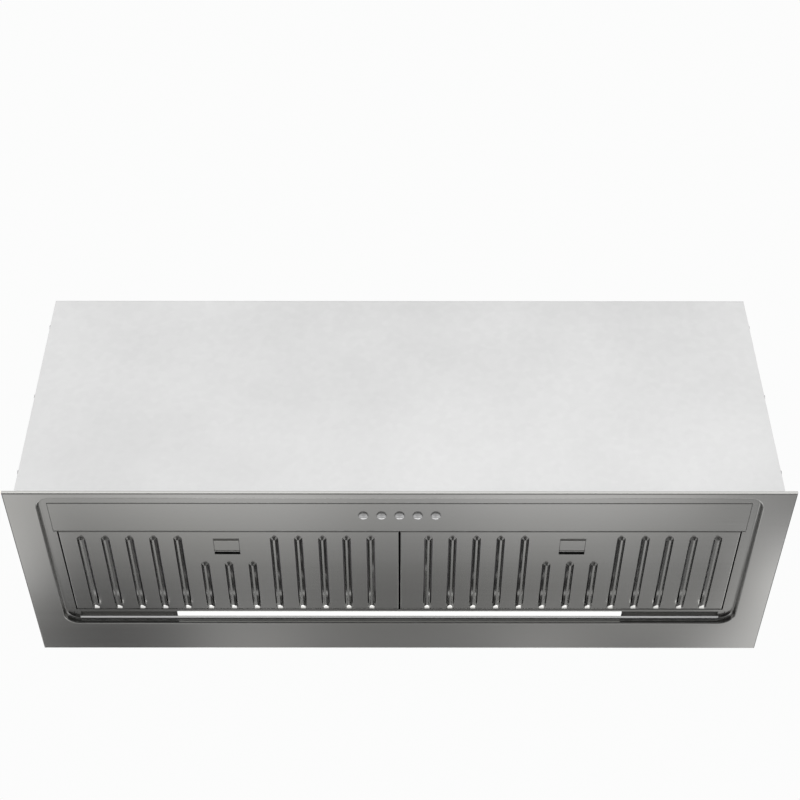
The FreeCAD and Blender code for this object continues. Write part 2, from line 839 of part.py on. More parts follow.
def make_end_panel(outer_face, inward, with_foot, with_ribs):
    """The front or rear panel.  Inward is +1 when the inside lies towards +Y."""
    inner_face = outer_face + inward * casing_sheet
    reach = inner_face + inward * return_width
    pieces = [block(casing_left, casing_right, outer_face, inner_face,
                    pan_sheet, casing_ceiling)]
    return_x = casing_right - casing_sheet
    for side in (-1, 1):
        pieces.append(block(side * return_x, side * (return_x - casing_sheet), inner_face,
                            reach, pan_sheet, casing_ceiling))
    top_half = return_x - casing_sheet - return_relief
    pieces.append(block(-top_half, top_half, inner_face, reach,
                        casing_ceiling - casing_sheet, casing_ceiling))
    if with_foot:
        pieces.append(block(-top_half, top_half, inner_face, reach,
                            pan_sheet, pan_sheet + casing_sheet))
    panel = join(pieces)
    cuts = []
    for side in (-1, 1):
        cuts += screw_holes(seam_seats(side), X_AXIS * -side)
    cuts += screw_holes(top_seats(), Z_AXIS * -1)
    panel = panel.cut(cuts)
    if with_ribs:
        panel = with_pressed_ribs(panel, outer_face, inward)
    return panel


def with_pressed_ribs(panel, outer_face, inward):
    """Upright stiffening ribs pressed into a panel, hollow on the outside."""
    low = pan_sheet + rib_margin
    high = casing_ceiling - rib_margin
    spacing = (casing_right - casing_left) / (rib_count + 1)
    inner_face = outer_face + inward * casing_sheet
    additions = []
    removals = []
    for index in range(rib_count):
        x = casing_left + spacing * (index + 1)
        for grow, start, target in [(0, inner_face, additions),
                                    (-casing_sheet, outer_face, removals)]:
            half_foot = rib_width / 2 + grow
            half_crown = rib_width / 4 + grow
            end = start + inward * rib_rise
            back = start - inward * casing_sheet / 2
            outline = [(-half_foot, back), (-half_foot, start), (-half_crown, end),
                       (half_crown, end), (half_foot, start), (half_foot, back)]
            points = [Vector(x + across, y, low - grow) for across, y in outline]
            target.append(polygon_prism(points, Z_AXIS * (high - low + 2 * grow)))
    return panel.multiFuse(additions).cut(removals).removeSplitter()


def make_side_panel(side):
    outer = side * casing_right
    inner = outer - side * casing_sheet
    front = casing_front + casing_sheet
    rear = casing_rear - casing_sheet
    relief = return_width + return_relief
    pieces = [block(outer, inner, front, rear, pan_sheet, casing_ceiling)]
    for level in (pan_sheet, casing_ceiling - casing_sheet):
        pieces.append(block(inner, inner - side * return_width, front + relief, rear - relief,
                            level, level + casing_sheet))
    panel = join(pieces)
    middle = (front + rear) / 2
    cuts = screw_holes(seam_seats(side), X_AXIS * -side)
    for along in (-1, 1):
        start = Vector(outer + side * overrun, middle + along * fixing_spacing / 2, fixing_level)
        cuts.append(rod(fixing_radius, casing_sheet + 2 * overrun, start, X_AXIS * -side))
    return panel.cut(cuts)


def make_casing_top():
    plate = block(casing_left, casing_right, casing_front, casing_rear,
                  casing_ceiling, casing_top_level)
    cuts = [rod(collar_inner, casing_sheet + 2 * overrun,
                Vector(0, collar_y, casing_ceiling - overrun))]
    cuts += screw_holes(top_seats(), Z_AXIS * -1)
    cuts += screw_holes(collar_seats(), Z_AXIS * -1)
    return plate.cut(cuts)


# ---------------------------------------------------------------------------
# Blower: scroll, wheel, motor and what carries them
# ---------------------------------------------------------------------------

def scroll_arcs(inset):
    """Centres and radii of the scroll's four quarter arcs, from the tongue round to the outlet.

    The centres are the corners of a small square about the wheel's axis, so each quarter
    runs into the next without a kink.
    """
    half = scroll_growth / 2
    corners = [(-half, half), (-half, -half), (half, -half), (half, half)]
    arcs = []
    for index, (dy, dz) in enumerate(corners):
        radius = scroll_tongue_radius + index * scroll_growth - inset
        arcs.append((Vector(0, wheel_y + dy, wheel_z + dz), radius))
    return arcs


def scroll_face(inset, top):
    """The scroll's outline in the plane x = 0, drawn in by the inset and open up to the top."""
    arcs = scroll_arcs(inset)
    tongue_y = wheel_y + tongue_offset + inset
    first_centre, first_radius = arcs[0]
    tongue_angle = math.acos((tongue_y - first_centre.y) / first_radius)
    spans = [(tongue_angle, math.pi / 2)]
    spans += [(math.pi / 2 * index, math.pi / 2 * (index + 1)) for index in (1, 2, 3)]

    def on_arc(centre, radius, angle):
        return centre + Vector(0, radius * math.cos(angle), radius * math.sin(angle))

    edges = []
    for (centre, radius), (start, end) in zip(arcs, spans):
        points = [on_arc(centre, radius, angle) for angle in (start, (start + end) / 2, end)]
        edges.append(Part.Arc(*points).toShape())
    tongue = on_arc(first_centre, first_radius, tongue_angle)
    last_centre, last_radius = arcs[3]
    outside = last_centre + Vector(0, last_radius, 0)
    corner_out = Vector(0, outside.y, top)
    corner_in = Vector(0, tongue.y, top)
    edges.append(Part.LineSegment(outside, corner_out).toShape())
    edges.append(Part.LineSegment(corner_out, corner_in).toShape())
    edges.append(Part.LineSegment(corner_in, tongue).toShape())
    return Part.Face(Part.Wire(edges))


def scroll_screw_places():
    """Screw places in the split rim, in the middle of each quarter and at the crown."""
    places = []
    for index, (centre, radius) in enumerate(scroll_arcs(0)):
        if index == 0:
            continue
        angle = math.pi / 2 * (index + 0.5)
        reach = radius + rim_reach / 2
        places.append(centre + Vector(0, reach * math.cos(angle), reach * math.sin(angle)))
    return places


def hanger_places():
    y = wheel_y - hanger_ahead
    centre, radius = scroll_arcs(0)[1]
    crown = centre.z + math.sqrt(radius ** 2 - (y - centre.y) ** 2)
    return y, crown + boss_rise


def arm_angles():
    return [math.pi / 2 + 2 * math.pi * index / arm_count for index in range(arm_count)]


def arm_places(x):
    return [Vector(x, wheel_y + arm_pitch_radius * math.cos(angle),
                   wheel_z + arm_pitch_radius * math.sin(angle)) for angle in arm_angles()]


def make_scroll_half(side):
    outward = X_AXIS * side
    body = scroll_face(0, neck_z).extrude(outward * scroll_half)
    rim = scroll_face(-rim_reach, neck_z - scroll_neck / 2).extrude(outward * rim_thick)
    hanger_y, boss_top = hanger_places()
    outer_x = scroll_half - hanger_from_edge
    boss = block(side * outer_x, side * (outer_x - hanger_width), hanger_y - hanger_depth / 2,
                 hanger_y + hanger_depth / 2, boss_top - 3 * boss_rise, boss_top)
    hollow = scroll_face(scroll_wall, neck_z + overrun).extrude(outward * (scroll_half - scroll_wall))
    axis_point = Vector(side * (scroll_half + overrun), wheel_y, wheel_z)
    inlet = rod(inlet_hole_radius + inlet_play, scroll_wall + 2 * overrun, axis_point, outward * -1)
    cuts = [hollow, inlet]
    for place in scroll_screw_places():
        cuts.append(rod(screw_shank_radius + screw_play, rim_thick + 2 * overrun,
                        place - outward * overrun, outward))
    if side > 0:
        for place in arm_places(scroll_half + overrun):
            cuts.append(rod(screw_shank_radius + screw_play, scroll_wall + 2 * overrun,
                            place, outward * -1))
    return join([body, rim, boss]).cut(cuts)


def make_inlet_ring(side):
    """A bell mouth: a throat that flares out to a flange on the scroll's side wall."""
    wall = scroll_half
    throat = wall - inlet_reach
    outer_flare = inlet_flare - inlet_sheet
    inner = []
    outer = []
    for index in range(inlet_steps + 1):
        angle = math.pi / 2 * index / inlet_steps
        depth = 1 - math.sin(angle)
        spread = 1 - math.cos(angle)
        inner.append((wall + inlet_sheet - inlet_flare * depth, inlet_radius + inlet_flare * spread))
        outer.append((wall - outer_flare * depth, inlet_radius + inlet_sheet + outer_flare * spread))
    profile = [(throat, inlet_radius)] + inner
    profile += [(wall + inlet_sheet, inlet_rim_radius), (wall, inlet_rim_radius)]
    profile += list(reversed(outer)) + [(throat, inlet_radius + inlet_sheet)]
    points = [Vector(side * x, wheel_y + radius, wheel_z) for x, radius in profile]
    return revolved(points, Vector(0, wheel_y, wheel_z), X_AXIS)


def make_wheel_disc():
    """The wheel's middle disc and its hub, bored for the shaft."""
    centre = Vector(0, wheel_y, wheel_z)
    disc = rod(wheel_radius, wheel_disc, centre - X_AXIS * (wheel_disc / 2), X_AXIS)
    hub = rod(hub_radius, hub_length, centre - X_AXIS * (hub_length / 2), X_AXIS)
    bore_start = centre - X_AXIS * (hub_length / 2 + overrun)
    return disc.fuse(hub).cut(rod(shaft_radius, hub_length + 2 * overrun, bore_start, X_AXIS))


def make_wheel_cage():
    """The right-hand half of the wheel: forward-curved blades from the disc to an end ring."""
    centre = Vector(0, wheel_y, wheel_z)
    inner_end = wheel_disc / 2
    outer_end = wheel_width / 2
    foot = wheel_radius - blade_depth
    tip = wheel_radius - blade_thick / 2
    middle = (foot + tip) / 2
    low_arc = Part.Arc(Vector(0, foot, 0), Vector(0, middle, blade_bow), Vector(0, tip, 0))
    high_arc = Part.Arc(Vector(0, foot, blade_thick), Vector(0, middle, blade_bow + blade_thick),
                        Vector(0, tip, blade_thick))
    section = Part.Wire([
        low_arc.toShape(),
        Part.LineSegment(Vector(0, tip, 0), Vector(0, tip, blade_thick)).toShape(),
        high_arc.toShape(),
        Part.LineSegment(Vector(0, foot, blade_thick), Vector(0, foot, 0)).toShape(),
    ])
    blade = Part.Face(section).extrude(X_AXIS * (outer_end - inner_end))
    blade.translate(centre + X_AXIS * inner_end)
    blades = []
    for index in range(blade_count):
        turned = blade.copy()
        turned.rotate(centre, X_AXIS, 360 * index / blade_count)
        blades.append(turned)
    ring = tube(wheel_radius, wheel_radius - blade_depth / 2, wheel_ring,
                centre + X_AXIS * (outer_end - wheel_ring), X_AXIS)
    return ring.multiFuse(blades)


def make_motor_shaft():
    start = -shaft_tail
    end = motor_start + shaft_engagement
    return rod(shaft_radius, end - start, Vector(start, wheel_y, wheel_z), X_AXIS)


def make_motor():
    end = motor_start + motor_length
    body = rod(motor_radius, motor_length, Vector(motor_start, wheel_y, wheel_z), X_AXIS)
    body = body.makeChamfer(motor_shoulder, round_edges(body))
    boss = rod(motor_boss_radius, motor_boss_length, Vector(end, wheel_y, wheel_z), X_AXIS)
    bore = rod(shaft_radius + shaft_play, shaft_engagement + overrun,
               Vector(motor_start, wheel_y, wheel_z), X_AXIS)
    return join([body, boss]).cut(bore)


def make_motor_bracket():
    centre = Vector(0, wheel_y, wheel_z)
    arm_x = scroll_half + bush_height
    pieces = [tube(motor_radius + clamp_wall, motor_radius, clamp_width,
                   centre + X_AXIS * (arm_x - clamp_width / 2), X_AXIS)]
    for angle in arm_angles():
        arm = block(arm_x, arm_x + arm_thick, motor_radius + clamp_wall / 2,
                    arm_pitch_radius, -arm_width / 2, arm_width / 2)
        end = rod(arm_width / 2, arm_thick, Vector(arm_x, arm_pitch_radius, 0), X_AXIS)
        arm = arm.fuse(end)
        arm.rotate(ORIGIN, X_AXIS, math.degrees(angle))
        arm.translate(centre)
        pieces.append(arm)
    holes = [rod(screw_shank_radius + screw_play, arm_thick + 2 * overrun, place, X_AXIS)
             for place in arm_places(arm_x - overrun)]
    return join(pieces).cut(holes)


def make_bracket_bushes():
    return group([tube(bush_radius, screw_shank_radius + screw_play, bush_height, place, X_AXIS)
                  for place in arm_places(scroll_half)])


def make_hanger(side):
    y, boss_top = hanger_places()
    outer_x = scroll_half - hanger_from_edge
    inner_x = outer_x - hanger_width
    front = y - hanger_depth / 2
    rear = y + hanger_depth / 2
    return join([
        block(side * inner_x, side * outer_x, front, rear, boss_top, boss_top + hanger_sheet),
        block(side * inner_x, side * outer_x, front, front + hanger_sheet, boss_top, casing_ceiling),
        block(side * inner_x, side * outer_x, front, rear, casing_ceiling - hanger_sheet,
              casing_ceiling),
    ])


def square_to_round(x_half, y0, y1, low, radius, high):
    """A solid that leads from a rectangle at one level to a many-sided ring at another.

    Each corner fans out into a quarter of the ring, and each straight side runs up to the
    point between two quarters, as it does in folded sheet.  The ring's flats touch the
    circle of that radius.
    """
    quarter = math.pi / 2
    step = quarter / adapter_bends
    centre = Vector(0, collar_y, high)
    corners = [Vector(x_half, y1, low), Vector(-x_half, y1, low),
               Vector(-x_half, y0, low), Vector(x_half, y0, low)]
    spread = radius / math.cos(step / 2)
    triangles = []
    ring = []
    for index, corner in enumerate(corners):
        quarter_points = []
        for bend in range(adapter_bends + 1):
            angle = quarter * index + step * bend
            quarter_points.append(centre + Vector(math.cos(angle), math.sin(angle), 0) * spread)
        for first, last in zip(quarter_points, quarter_points[1:]):
            triangles.append((corner, first, last))
        triangles.append((corner, corners[(index + 1) % len(corners)], quarter_points[-1]))
        ring += quarter_points[:-1]
    faces = [Part.Face(Part.makePolygon(list(points) + [points[0]]))
             for points in triangles + [tuple(corners), tuple(ring)]]
    shell = Part.makeShell(faces)
    shell.sewShape()
    solid = Part.makeSolid(shell)
    if solid.Volume < 0:
        solid.reverse()
    return solid


def make_outlet_adapter():
    """A folded duct from the scroll's oblong neck to the round collar."""
    neck_inner_y = wheel_y + tongue_offset
    neck_outer_y = wheel_y + scroll_reach_rear

    def duct(inset):
        margin = adapter_margin + inset
        return square_to_round(scroll_half - margin, neck_inner_y + margin, neck_outer_y - margin,
                               neck_z, collar_inner - inset, casing_ceiling)

    flange = block(-scroll_half - adapter_flange / 2, scroll_half + adapter_flange / 2,
                   neck_inner_y - adapter_flange, neck_outer_y + adapter_flange,
                   neck_z, neck_z + adapter_flange_thick)
    return flange.fuse(duct(0)).cut(duct(adapter_wall))


def make_capacitor():
    start = Vector(capacitor_x - capacitor_length / 2, casing_front + capacitor_from_front,
                   casing_ceiling - capacitor_clip_sheet - capacitor_radius)
    body = rod(capacitor_radius, capacitor_length, start, X_AXIS)
    return body.makeChamfer(capacitor_edge, round_edges(body))


def make_capacitor_clip():
    y = casing_front + capacitor_from_front
    z = casing_ceiling - capacitor_clip_sheet - capacitor_radius
    half = capacitor_clip_width / 2
    band = tube(capacitor_radius + capacitor_clip_sheet, capacitor_radius, capacitor_clip_width,
                Vector(capacitor_x - half, y, z), X_AXIS)
    foot = block(capacitor_x - half, capacitor_x + half, y - capacitor_radius,
                 y + capacitor_radius, casing_ceiling - capacitor_clip_sheet, casing_ceiling)
    return join([band, foot])


# ---------------------------------------------------------------------------
# Duct collar and backdraught flaps
# ---------------------------------------------------------------------------

def pin_line(side):
    """The middle of one flap's pin; side is -1 for the front flap."""
    return Vector(0, collar_y + side * flap_pin_offset, flap_z)


def make_duct_collar():
    half = collar_base / 2
    base = rounded_block(-half, half, collar_y - half, collar_y + half, casing_top_level,
                         casing_top_level + collar_sheet, collar_base_corner)
    spigot = rod(collar_radius, collar_height, Vector(0, collar_y, casing_top_level))
    bore = rod(collar_inner, collar_height + 2 * overrun,
               Vector(0, collar_y, casing_top_level - overrun))
    bead_level = flap_z - flap_sheet / 2 - seat_gap - bead_height
    bead = tube(collar_inner + collar_sheet / 2, collar_inner - bead_reach, bead_height,
                Vector(0, collar_y, bead_level))
    reach = collar_radius + overrun
    pin_holes = [rod(flap_pin_radius, 2 * reach, pin_line(side) - X_AXIS * reach, X_AXIS)
                 for side in (-1, 1)]
    collar = join([base.fuse(spigot).cut(bore), bead])
    return collar.cut(pin_holes + screw_holes(collar_seats(), Z_AXIS * -1))


def make_flap(side):
    """One half disc, its straight edge rolled round its pin; side is -1 for the front flap."""
    radius = collar_inner - flap_play
    axis = pin_line(side)
    disc = rod(radius, flap_sheet, Vector(0, collar_y, flap_z - flap_sheet / 2))
    keep = block(-radius, radius, axis.y, collar_y + side * radius,
                 flap_z - flap_sheet, flap_z + flap_sheet)
    bore_radius = flap_pin_radius + flap_pin_play
    roll = rod(bore_radius + flap_roll_wall, 2 * flap_roll_half,
               axis - X_AXIS * flap_roll_half, X_AXIS)
    bore = rod(bore_radius, 2 * radius, axis - X_AXIS * radius, X_AXIS)
    return join([disc.common(keep), roll]).cut(bore)


def make_flap_pins():
    half = math.sqrt(collar_radius ** 2 - (flap_pin_offset + flap_pin_radius) ** 2)
    return group([rod(flap_pin_radius, 2 * half, pin_line(side) - X_AXIS * half, X_AXIS)
                  for side in (-1, 1)])


# ---------------------------------------------------------------------------
# Connection box
# ---------------------------------------------------------------------------

box_x = casing_left + box_from_left
box_y = casing_front + box_from_front
gland_z = casing_top_level + box_height / 2
gland_y = box_y + box_depth / 2


def make_terminal_box():
    outer = block(box_x, box_x + box_length, box_y, box_y + box_depth,
                  casing_top_level, casing_top_level + box_height)
    hollow = block(box_x + box_wall, box_x + box_length - box_wall, box_y + box_wall,
                   box_y + box_depth - box_wall, casing_top_level + box_wall,
                   casing_top_level + box_height + overrun)
    entry = rod(gland_thread, 3 * box_wall, Vector(box_x - box_wall, gland_y, gland_z), X_AXIS)
    return outer.cut([hollow, entry])


def make_terminal_cover():
    top = casing_top_level + box_height
    reach = cover_play + box_wall
    outer = block(box_x - reach, box_x + box_length + reach, box_y - reach,
                  box_y + box_depth + reach, top - cover_lip, top + box_wall)
    outer = outer.makeFillet(box_wall, edges_at_level(outer, top + box_wall))
    hollow = block(box_x - cover_play, box_x + box_length + cover_play, box_y - cover_play,
                   box_y + box_depth + cover_play, top - cover_lip - overrun, top)
    return outer.cut(hollow)


def make_terminal_block():
    x0 = box_x + box_length - 3 * box_wall - terminal_length
    y0 = box_y + (box_depth - terminal_depth) / 2
    y1 = y0 + terminal_depth
    z0 = casing_top_level + box_wall
    middle_z = z0 + terminal_height / 2
    body = block(x0, x0 + terminal_length, y0, y1, z0, z0 + terminal_height)
    cuts = []
    pitch = terminal_length / terminal_ways
    for index in range(terminal_ways):
        x = x0 + pitch * (index + 0.5)
        cuts.append(block(x - terminal_entry / 2, x + terminal_entry / 2, y0 - overrun, y1 + overrun,
                          middle_z - terminal_entry, middle_z))
        cuts.append(rod(terminal_well, terminal_height, Vector(x, (y0 + y1) / 2, middle_z + overrun)))
    return body.cut(cuts)


def make_cable_gland():
    start = box_x - gland_body
    thread = rod(gland_thread, gland_body + gland_inside, Vector(start, gland_y, gland_z), X_AXIS)
    collar = hexagon(gland_radius, gland_nut, Vector(box_x - gland_nut, gland_y, gland_z), X_AXIS)
    dome = rod(gland_dome_radius, gland_dome, Vector(start, gland_y, gland_z), X_AXIS)
    mouth = [edge for edge in round_edges(dome) if abs(edge.CenterOfMass.x - start) < tiny]
    dome = dome.makeChamfer(gland_dome_edge, mouth)
    nut = hexagon(gland_radius, gland_nut, Vector(box_x + box_wall, gland_y, gland_z), X_AXIS)
    bore = rod(gland_bore, gland_body + gland_inside + 2 * overrun,
               Vector(start - overrun, gland_y, gland_z), X_AXIS)
    return join([thread, collar, dome, nut]).cut(bore)


# ---------------------------------------------------------------------------
# Screw groups
# ---------------------------------------------------------------------------

def make_casing_screws():
    return group([screw(seat, X_AXIS * -side) for side in (-1, 1) for seat in seam_seats(side)])


def make_top_screws():
    return group([screw(seat, Z_AXIS * -1) for seat in top_seats()])


def make_collar_screws():
    return group([screw(seat, Z_AXIS * -1) for seat in collar_seats()])


def make_scroll_screws():
    return group([screw(place + X_AXIS * rim_thick, X_AXIS * -1, 2 * rim_thick + screw_head_height)
                  for place in scroll_screw_places()])


def make_bracket_screws():
    seat_x = scroll_half + bush_height + arm_thick
    length = arm_thick + bush_height + scroll_wall + overrun
    return group([screw(place, X_AXIS * -1, length) for place in arm_places(seat_x)])


# ---------------------------------------------------------------------------
# Every piece by name
# ---------------------------------------------------------------------------

def build_pieces():
    pieces = {
        "bottom_pan": make_bottom_pan(),
        "control_strip": make_control_strip(),
        "switch_housing": make_switch_housing(),
        "switch_board": make_switch_board(),
        "light_channel": make_light_channel(),
        "light_lens": make_light_lens(),
        "light_board": make_light_board(),
        "light_driver": make_light_driver(),
        "casing_front": make_end_panel(casing_front, 1, with_foot=False, with_ribs=False),
        "casing_rear": make_end_panel(casing_rear, -1, with_foot=True, with_ribs=True),
        "casing_left": make_side_panel(-1),
        "casing_right": make_side_panel(1),
        "casing_top": make_casing_top(),
        "scroll_left": make_scroll_half(-1),
        "scroll_right": make_scroll_half(1),
        "inlet_ring_left": make_inlet_ring(-1),
        "inlet_ring_right": make_inlet_ring(1),
        "wheel_disc": make_wheel_disc(),
        "motor_shaft": make_motor_shaft(),
        "motor": make_motor(),
        "motor_bracket": make_motor_bracket(),
        "bracket_bushes": make_bracket_bushes(),
        "hanger_left": make_hanger(-1),
        "hanger_right": make_hanger(1),
        "outlet_adapter": make_outlet_adapter(),
        "capacitor": make_capacitor(),
        "capacitor_clip": make_capacitor_clip(),
        "duct_collar": make_duct_collar(),
        "flap_front": make_flap(-1),
        "flap_rear": make_flap(1),
        "flap_pins": make_flap_pins(),
        "terminal_box": make_terminal_box(),
        "terminal_cover": make_terminal_cover(),
        "terminal_block": make_terminal_block(),
        "cable_gland": make_cable_gland(),
        "casing_screws": make_casing_screws(),
        "top_screws": make_top_screws(),
        "collar_screws": make_collar_screws(),
        "scroll_screws": make_scroll_screws(),
        "bracket_screws": make_bracket_screws(),
    }
    for index, x in enumerate(button_places()):
        pieces["button_%d" % (index + 1)] = make_button(x)
    right_hand = {
        "wheel_cage_%s": make_wheel_cage(),
        "filter_%s_face": make_filter_face(),
        "filter_%s_back": make_filter_back(),
        "filter_%s_latch_cup": make_latch_cup(),
        "filter_%s_latch": make_latch(),
    }
    for name, shape in right_hand.items():
        pieces[name % "right"] = shape
        pieces[name % "left"] = mirrored_x(shape)
    return pieces


def main():
    os.makedirs("parts", exist_ok=True)
    for name, shape in build_pieces().items():
        shape.exportStep("parts/%s.step" % name)


main()
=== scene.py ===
import json
import math

import bmesh
import bpy
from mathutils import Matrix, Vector


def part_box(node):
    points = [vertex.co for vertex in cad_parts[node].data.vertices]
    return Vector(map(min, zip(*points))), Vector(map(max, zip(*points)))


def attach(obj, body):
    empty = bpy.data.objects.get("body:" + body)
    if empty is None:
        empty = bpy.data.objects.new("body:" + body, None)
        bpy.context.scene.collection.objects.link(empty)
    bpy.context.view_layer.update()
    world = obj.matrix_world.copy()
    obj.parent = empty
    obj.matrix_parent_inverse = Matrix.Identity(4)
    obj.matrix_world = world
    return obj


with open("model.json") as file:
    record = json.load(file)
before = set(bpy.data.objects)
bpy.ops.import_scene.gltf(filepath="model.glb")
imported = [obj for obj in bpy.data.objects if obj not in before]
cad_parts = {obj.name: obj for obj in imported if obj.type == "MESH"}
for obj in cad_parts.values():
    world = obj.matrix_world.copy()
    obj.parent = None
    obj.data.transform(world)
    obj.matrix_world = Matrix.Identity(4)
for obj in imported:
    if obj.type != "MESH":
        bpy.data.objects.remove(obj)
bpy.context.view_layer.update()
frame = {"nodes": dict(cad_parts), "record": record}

# The camera stands in front of and below the hood and looks up at its underside.
camera_place = (-0.0007, -1.4409, -1.0908)
camera_pitch = math.radians(43.513)
camera_yaw = math.radians(-0.05)
camera_lens = 70.605        # millimetres, as is the sensor's width
sensor_width = 36.0
camera_sight = 100.0

# The hood hangs, so the floor lies well below the camera.
floor_level = -1.95
floor_half = 60.0
floor_share = 0.7           # how much of the plain background the floor shows to the camera

background = (0.972, 0.974, 0.972, 1.0)
ambient = 0.8               # strength of the even light that falls on the object

# A gradient card under the hood, which only mirror rays see: its tone shows in the brushed underside.
card_level = -0.5
card_half = 1.6
card_middle = (0.0, 0.75)
# Its tone at a row of places from front to rear, as (y, level) pairs.
card_tones = (
    (-0.20, 0.25), (0.26, 0.35), (0.38, 0.66), (0.44, 0.63), (0.50, 0.51), (0.54, 0.44),
    (0.58, 0.37), (0.64, 0.26), (0.70, 0.185), (0.76, 0.145), (0.80, 0.28), (0.88, 0.17),
    (1.10, 0.28), (1.40, 0.95), (2.20, 0.95),
)
# How much stronger it is to either side, as (distance from the middle, factor) pairs.
card_sides = (
    (0.0, 1.0), (0.06, 1.02), (0.12, 1.14), (0.20, 1.28), (0.34, 1.28), (0.44, 1.10), (0.54, 0.92),
    (0.60, 1.08), (1.60, 1.10),
)
# Soft pools of tone on the card: centre, radius, level.
card_pools = (
    ((-0.74, 0.62), 0.23, 1.05),
    ((-0.50, 0.86), 0.24, 0.08),
    ((-0.26, 0.86), 0.14, 0.38),
    ((0.26, 0.86), 0.14, 0.38),
    ((0.42, 0.74), 0.18, 0.32),
    ((0.72, 0.68), 0.20, 1.40),
    ((0.74, 0.90), 0.32, 1.05),
    ((0.66, 0.44), 0.24, 0.22),
)
# Upright cards that only mirror rays see.  Dark ones stand at both sides, behind and in front, so
# that sloping flanks show darker than flats.  A bright one stands before the middle of the rear one,
# and the domed buttons mirror it.
flag_tone = 0.06
rear_tone = 1.55
flag_reach = 1.3
flag_rear = 2.0
flag_front = 0.25
flag_bottom = -0.45
flag_top = 0.5
rear_card_half = 0.5
rear_card_y = 1.98
rear_card_top = 0.1
front_flag_y = -1.2
front_flag_half = 0.9
front_flag_bottom = -1.05
front_flag_top = -0.25

# Three broad, weak lamps: name, place, width, depth, power.
lamp_target = (0.0, 0.0, 0.1)
broad_lamps = (
    ("lamp_below_left", (-1.6, -1.6, -1.3), 2.2, 1.6, 3.0),
    ("lamp_front", (-0.1, -3.5, 0.9), 4.0, 3.0, 12.0),
    ("lamp_above_rear", (-0.8, 2.2, 2.4), 3.0, 2.4, 8.0),
)

# The light bar's glow on the louvres' rear ends: a small lamp just behind each of them.
louvre_count = 13
louvre_first = 0.032        # from the filter's inner end
louvre_pitch = 0.02705
glow_setback = 0.0045       # from the filters' rear edge
glow_level = 0.0013         # above the flange's underside
glow_width = 0.0056
glow_depth = 0.0116
glow_power = 0.00014
glow_spread = math.radians(120.0)
glow_receivers = ("filter_left_face", "filter_right_face")

# The stainless sheet is brightest on the flange.  Elsewhere painted shade darkens it: its colour is
# multiplied by these tones.
flange_level = 0.0015       # the flange's unshaded tone ends here, above its underside
pressed_level = 0.0045      # and the painted shade of the pressed recess starts here
pressed_painted_shade = 0.86
flank_painted_shade = 0.42           # painted shade on the louvre flanks
wall_painted_shade = 0.55            # painted shade on the recess's side walls
rear_wall_painted_shade = 0.24       # painted shade on the recess's rear wall, behind the light bar
rear_wall_start = 0.085     # faces turned to the front are the rear wall from here on
fold_painted_shade = 0.35            # painted shade in folds and slots
# lighter painted shade in the latches' folds and slots
latch_fold_painted_shade = 0.9
fold_shade_reach = 0.006          # how near another face must be for the painted shade in folds and slots

# Radii that soften the edges in a finish's shading.
fine_edge = 0.0003
sheet_edge = 0.0004
cast_edge = 0.0005

# The lip behind the light bar: a strip under the ledge, tilted a little to the front.
lip_half = 0.379
lip_front_y = 0.0881
lip_rear_y = 0.0913
lip_top = 0.0071
lip_front_under = 0.0067
lip_rear_under = 0.0060
lip_edge = 0.0002           # the eased lower edges

nodes = frame["nodes"]
slot_of = {part["node"]: part["material_slot"] for part in frame["record"]["subparts"]}


